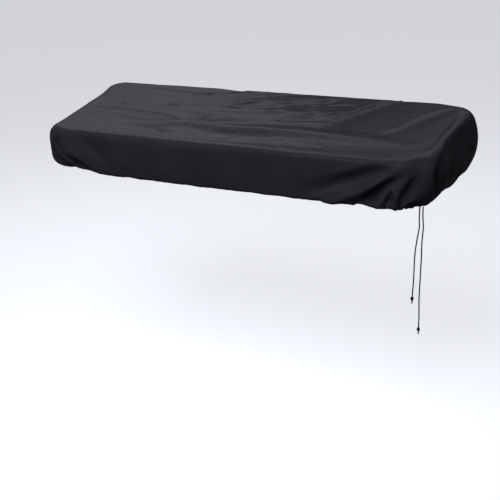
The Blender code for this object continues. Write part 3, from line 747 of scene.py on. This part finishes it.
def add_node(tree, kind, inputs=None, **settings):
    """Adds one node, with its settings, and with a value or a link for each of its inputs."""
    node = tree.nodes.new(kind)
    for name, value in settings.items():
        setattr(node, name, value)
    for name, value in (inputs or {}).items():
        if isinstance(value, bpy.types.NodeSocket):
            tree.links.new(value, node.inputs[name])
        else:
            node.inputs[name].default_value = value
    return node


def seam_line(rows):
    """The closed line of the hem's seam on the outside of the cloth, just proud of it."""
    upward = np.stack(rows[::-1][:ROWS["tuck"] + ROWS["turn"]])
    step = np.linalg.norm(np.diff(upward, axis=0), axis=-1)
    from_rim = np.vstack([np.zeros(step.shape[1]), np.cumsum(step, axis=0)])
    count = step.shape[1]
    line = np.array([
        [np.interp(STITCH_INSET, from_rim[:, here], upward[:, here, axis]) for axis in range(3)]
        for here in range(count)])
    nearest = np.abs(from_rim - STITCH_INSET).argmin(0).clip(1, len(upward) - 2)
    places = np.arange(count)
    rising = upward[nearest + 1, places] - upward[nearest - 1, places]
    outward = np.cross(np.roll(line, -1, axis=0) - np.roll(line, 1, axis=0), rising)
    outward /= np.linalg.norm(outward, axis=-1)[:, None]
    return line + outward * STITCH_PROUD - [0.0, 0.0, UNDERSIDE]


def stitch_tree(thread):
    """A node tree that lays one small rounded stitch after another along the line that it is given."""
    tree = bpy.data.node_groups.new("lockstitches", "GeometryNodeTree")
    tree.interface.new_socket("Seam", in_out="INPUT", socket_type="NodeSocketGeometry")
    sizes = {"Spacing": STITCH_SPACING, "Stitch Length": STITCH_LENGTH, "Thread Diameter": THREAD_DIAMETER,
             "Unevenness": STITCH_UNEVENNESS}
    for name in sizes:
        tree.interface.new_socket(name, in_out="INPUT", socket_type="NodeSocketFloat")
    tree.interface.new_socket("Seed", in_out="INPUT", socket_type="NodeSocketInt")
    tree.interface.new_socket("Stitches", in_out="OUTPUT", socket_type="NodeSocketGeometry")
    given = tree.nodes.new("NodeGroupInput").outputs
    seam = add_node(tree, "GeometryNodeMeshToCurve", {"Mesh": given["Seam"]})
    evened = add_node(tree, "GeometryNodeResampleCurve",
                      {"Curve": seam.outputs["Curve"], "Length": given["Spacing"]}, mode="LENGTH")
    along = add_node(tree, "GeometryNodeInputTangent")
    turned = add_node(tree, "FunctionNodeAlignRotationToVector",
                      {"Vector": along.outputs["Tangent"]}, axis="Z")
    stitch = add_node(tree, "GeometryNodeMeshUVSphere", {"Segments": 6, "Rings": 5, "Radius": 0.5})
    size = add_node(tree, "ShaderNodeCombineXYZ",
                    {"X": given["Thread Diameter"], "Y": given["Thread Diameter"],
                     "Z": given["Stitch Length"]})
    least, most = (add_node(tree, "ShaderNodeMath", {0: 1.0, 1: given["Unevenness"]}, operation=way)
                   for way in ("SUBTRACT", "ADD"))
    chance = add_node(tree, "FunctionNodeRandomValue",
                      {"Min": least.outputs[0], "Max": most.outputs[0], "Seed": given["Seed"]})
    uneven = add_node(tree, "ShaderNodeVectorMath",
                      {"Vector": size.outputs["Vector"], "Scale": chance.outputs["Value"]},
                      operation="SCALE")
    laid = add_node(tree, "GeometryNodeInstanceOnPoints",
                    {"Points": evened.outputs["Curve"], "Instance": stitch.outputs["Mesh"],
                     "Rotation": turned.outputs["Rotation"], "Scale": uneven.outputs["Vector"]})
    real = add_node(tree, "GeometryNodeRealizeInstances", {"Geometry": laid.outputs["Instances"]})
    dyed = add_node(tree, "GeometryNodeSetMaterial",
                    {"Geometry": real.outputs["Geometry"], "Material": thread})
    add_node(tree, "NodeGroupOutput", {"Stitches": dyed.outputs["Geometry"]})
    return tree, {**sizes, "Seed": STITCH_SEED}


def make_stitches(rows, thread):
    """The row of lockstitches round the hem."""
    line = seam_line(rows)
    data = bpy.data.meshes.new("seam_line")
    data.from_pydata(line.tolist(), [(here, (here + 1) % len(line)) for here in range(len(line))], [])
    seam = new_object("seam_line", data)
    tree, values = stitch_tree(thread)
    sewing = seam.modifiers.new("lockstitches", "NODES")
    sewing.node_group = tree
    for socket in tree.interface.items_tree:
        if socket.name in values:
            sewing[socket.identifier] = values[socket.name]
    return freeze(seam, "hem_lockstitches")


# ---- materials


def linear(code):
    """An sRGB hex colour as the linear colour that shaders take."""
    values = [int(code[start:start + 2], 16) / 255 for start in (1, 3, 5)]
    return [v / 12.92 if v <= 0.04045 else ((v + 0.055) / 1.055) ** 2.4 for v in values] + [1.0]


def new_material(name):
    """An empty node material, and its tree."""
    material = bpy.data.materials.new(name)
    material.use_nodes = True
    material.node_tree.nodes.clear()
    return material, material.node_tree


def calendered_polyester():
    """Plain-weave polyester pressed smooth between hot rollers, dyed black.

    The pressing gives it a soft satin shine on every curved fold. The dye leaves it a touch blue, and the
    storage creases show as faint ripples.
    """
    material, tree = new_material("calendered_polyester")
    flat = add_node(tree, "ShaderNodeTexCoord").outputs["UV"]
    cloudy = add_node(tree, "ShaderNodeTexNoise",
                      {"Vector": flat, "Scale": 1.0 / DYE_CLOUD, "Detail": 3.0, "Roughness": 0.55})
    shade = add_node(tree, "ShaderNodeValToRGB", {"Fac": cloudy.outputs["Fac"]})
    for stop, place, code in zip(shade.color_ramp.elements, (0.30, 0.75), ("#2b2c30", "#313236")):
        stop.position = place
        stop.color = linear(code)
    gloss = add_node(tree, "ShaderNodeMapRange",
                     {"Value": cloudy.outputs["Fac"], "From Min": 0.3, "From Max": 0.7,
                      "To Min": 0.31, "To Max": 0.37})
    ripple = add_node(tree, "ShaderNodeTexNoise",
                      {"Vector": flat, "Scale": 1.0 / STORAGE_RIPPLE, "Detail": 2.0, "Roughness": 0.5})
    threads = {"Vector": flat, "Scale": 1.0 / (WEAVE_THREAD * math.pi)}
    warp, weft = (add_node(tree, "ShaderNodeTexWave", threads, bands_direction=way) for way in "XY")
    weave = add_node(tree, "ShaderNodeMath", {0: warp.outputs["Fac"], 1: weft.outputs["Fac"]},
                     operation="MULTIPLY")
    creased = add_node(tree, "ShaderNodeBump",
                       {"Height": ripple.outputs["Fac"], "Strength": 0.25, "Distance": 0.004})
    woven = add_node(tree, "ShaderNodeBump",
                     {"Height": weave.outputs[0], "Strength": 0.15, "Distance": 0.0002,
                      "Normal": creased.outputs["Normal"]})
    surface = add_node(tree, "ShaderNodeBsdfPrincipled",
                       {"Base Color": shade.outputs["Color"], "Roughness": gloss.outputs["Result"],
                        "Normal": woven.outputs["Normal"], "Specular IOR Level": 0.25})
    add_node(tree, "ShaderNodeOutputMaterial", {"Surface": surface.outputs["BSDF"]})
    return material


def braided_cord():
    """Polyester braided round in fine strands, dyed black: matte, with diagonal ribs whose grooves are
    painted darker as shade.
    """
    material, tree = new_material("braided_polyester_cord")
    place = add_node(tree, "ShaderNodeTexCoord").outputs["Object"]
    ribs = add_node(tree, "ShaderNodeTexWave", {"Vector": place, "Scale": 1.0 / (BRAID_RIB * math.pi)},
                    bands_direction="DIAGONAL")
    raised = add_node(tree, "ShaderNodeBump",
                      {"Height": ribs.outputs["Fac"], "Strength": 0.6, "Distance": 0.0004})
    # Painted shade: the colour follows the ribs' relief, darker in the grooves between them and lighter on
    # their crests
    shade = add_node(tree, "ShaderNodeValToRGB", {"Fac": ribs.outputs["Fac"]})
    for stop, code in zip(shade.color_ramp.elements, ("#101012", "#26262a")):
        stop.color = linear(code)
    surface = add_node(tree, "ShaderNodeBsdfPrincipled",
                       {"Base Color": shade.outputs["Color"], "Normal": raised.outputs["Normal"],
                        "Roughness": 0.75, "Sheen Weight": 0.2})
    add_node(tree, "ShaderNodeOutputMaterial", {"Surface": surface.outputs["BSDF"]})
    return material


def sewing_thread():
    """Spun polyester thread, a little lighter than the cloth, with the shine of its twist."""
    material, tree = new_material("spun_polyester_thread")
    place = add_node(tree, "ShaderNodeTexCoord").outputs["Object"]
    fibres = add_node(tree, "ShaderNodeTexNoise", {"Vector": place, "Scale": 1.0 / SPUN_FIBRE})
    raised = add_node(tree, "ShaderNodeBump",
                      {"Height": fibres.outputs["Fac"], "Strength": 0.3, "Distance": 0.0001})
    surface = add_node(tree, "ShaderNodeBsdfPrincipled",
                       {"Base Color": linear("#2e2e34"), "Normal": raised.outputs["Normal"],
                        "Roughness": 0.5})
    add_node(tree, "ShaderNodeOutputMaterial", {"Surface": surface.outputs["BSDF"]})
    return material


def pale_floor():
    """Matte pale studio floor, with a faint glow that keeps it pale far from the lights."""
    material, tree = new_material("matte_studio_floor")
    surface = add_node(tree, "ShaderNodeBsdfPrincipled",
                       {"Base Color": linear("#f2f2f2"), "Roughness": 0.9,
                        "Emission Color": linear("#f2f4f8"), "Emission Strength": FLOOR_GLOW})
    add_node(tree, "ShaderNodeOutputMaterial", {"Surface": surface.outputs["BSDF"]})
    return material


# ---- camera, floor and light


def place_camera():
    """The camera of the reference view."""
    azimuth, elevation, roll = map(math.radians, (CAMERA_AZIMUTH, CAMERA_ELEVATION, CAMERA_ROLL))
    ahead = Vector((-math.sin(azimuth) * math.cos(elevation), math.cos(azimuth) * math.cos(elevation),
                    -math.sin(elevation)))
    level = Vector((math.cos(azimuth), math.sin(azimuth), 0.0))
    above = level.cross(ahead)
    right = level * math.cos(roll) + above * math.sin(roll)
    upward = above * math.cos(roll) - level * math.sin(roll)
    place = Vector(CAMERA_PLACE) - Vector((0.0, 0.0, UNDERSIDE))
    turned = Matrix((right, upward, -ahead)).transposed().to_4x4()
    data = bpy.data.cameras.new("camera")
    data.sensor_width = SENSOR_WIDTH
    data.lens = FOCAL_PIXELS * SENSOR_WIDTH / PICTURE_PIXELS
    data.clip_end = CAMERA_SIGHT
    camera = new_object("camera", data)
    camera.matrix_world = Matrix.Translation(place) @ turned
    bpy.context.scene.camera = camera


def place_soft_light(name, place, power):
    """One square soft light. Only the lights behind the cover show in its shine."""
    data = bpy.data.lights.new(f"{name} soft light", "AREA")
    data.size = SOFT_LIGHT_WIDTH
    data.energy = power
    data.color = linear(SOFT_LIGHT_COLOUR)[:3]
    light = new_object(data.name, data)
    light.rotation_mode = "QUATERNION"
    light.rotation_quaternion = (Vector(SOFT_LIGHT_AIM) - Vector(place)).to_track_quat("-Z", "Y")
    light.location = place
    light.visible_camera = False
    light.visible_glossy = place[1] > 0.0


def light_studio():
    """Large soft lights all round, the strongest high in front, and a dim surround."""
    for name, place, power in SOFT_LIGHTS:
        place_soft_light(name, place, power)
    world = bpy.data.worlds.new("dim surround")
    bpy.context.scene.world = world
    world.use_nodes = True
    background = world.node_tree.nodes["Background"]
    background.inputs["Color"].default_value = linear(SURROUND_COLOUR)
    background.inputs["Strength"].default_value = SURROUND_STRENGTH
    bpy.context.scene.view_settings.view_transform = "Standard"


def make_floor(material):
    """The pale floor, well below the cover. It neither shows in the cloth's shine nor lights it."""
    mesh = bmesh.new()
    bmesh.ops.create_grid(mesh, x_segments=1, y_segments=1, size=FLOOR_WIDTH / 2)
    bmesh.ops.translate(mesh, verts=mesh.verts, vec=(0.0, 0.0, -FLOOR_DROP))
    floor = object_from_mesh("studio_floor", mesh, material)
    floor.visible_glossy = False
    floor.visible_diffuse = False


# ---- the whole scene

chances = random.Random(WRINKLE_SEED)
ALL_TOP_FOLDS = sum((scatter_wrinkles(patch, chances) for patch in TOP_WRINKLES), TOP_FOLDS)
ALL_WALL_FOLDS = {side: folds + scatter_wrinkles(WALL_WRINKLES[side], chances)
                  for side, folds in WALL_FOLDS.items()}

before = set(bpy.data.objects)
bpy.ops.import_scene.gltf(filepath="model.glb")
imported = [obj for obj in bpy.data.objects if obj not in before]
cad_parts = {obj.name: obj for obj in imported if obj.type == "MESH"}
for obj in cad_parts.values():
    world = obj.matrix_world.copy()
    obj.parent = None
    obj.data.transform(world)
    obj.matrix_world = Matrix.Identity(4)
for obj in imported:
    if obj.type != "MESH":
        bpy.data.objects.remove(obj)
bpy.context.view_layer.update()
place_camera()
light_studio()
make_floor(pale_floor())

cord_finish = braided_cord()
for end, route in CORDS.items():
    cord, line = make_cord(end, route, cord_finish)
    knot = make_knot(end, line[-1], cord_finish)
    for piece, node in ((cord, f"drawstring_{end}"), (knot, f"knot_{end}")):
        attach(piece, "root")
        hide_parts(node)

wall_rows, flat_rows = lay_out_wall()
cover = make_cover_cloth(wall_rows, flat_rows, calendered_polyester())
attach(cover, "root")
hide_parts("cover_cloth")
stitches = make_stitches(wall_rows, sewing_thread())
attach(stitches, "root")
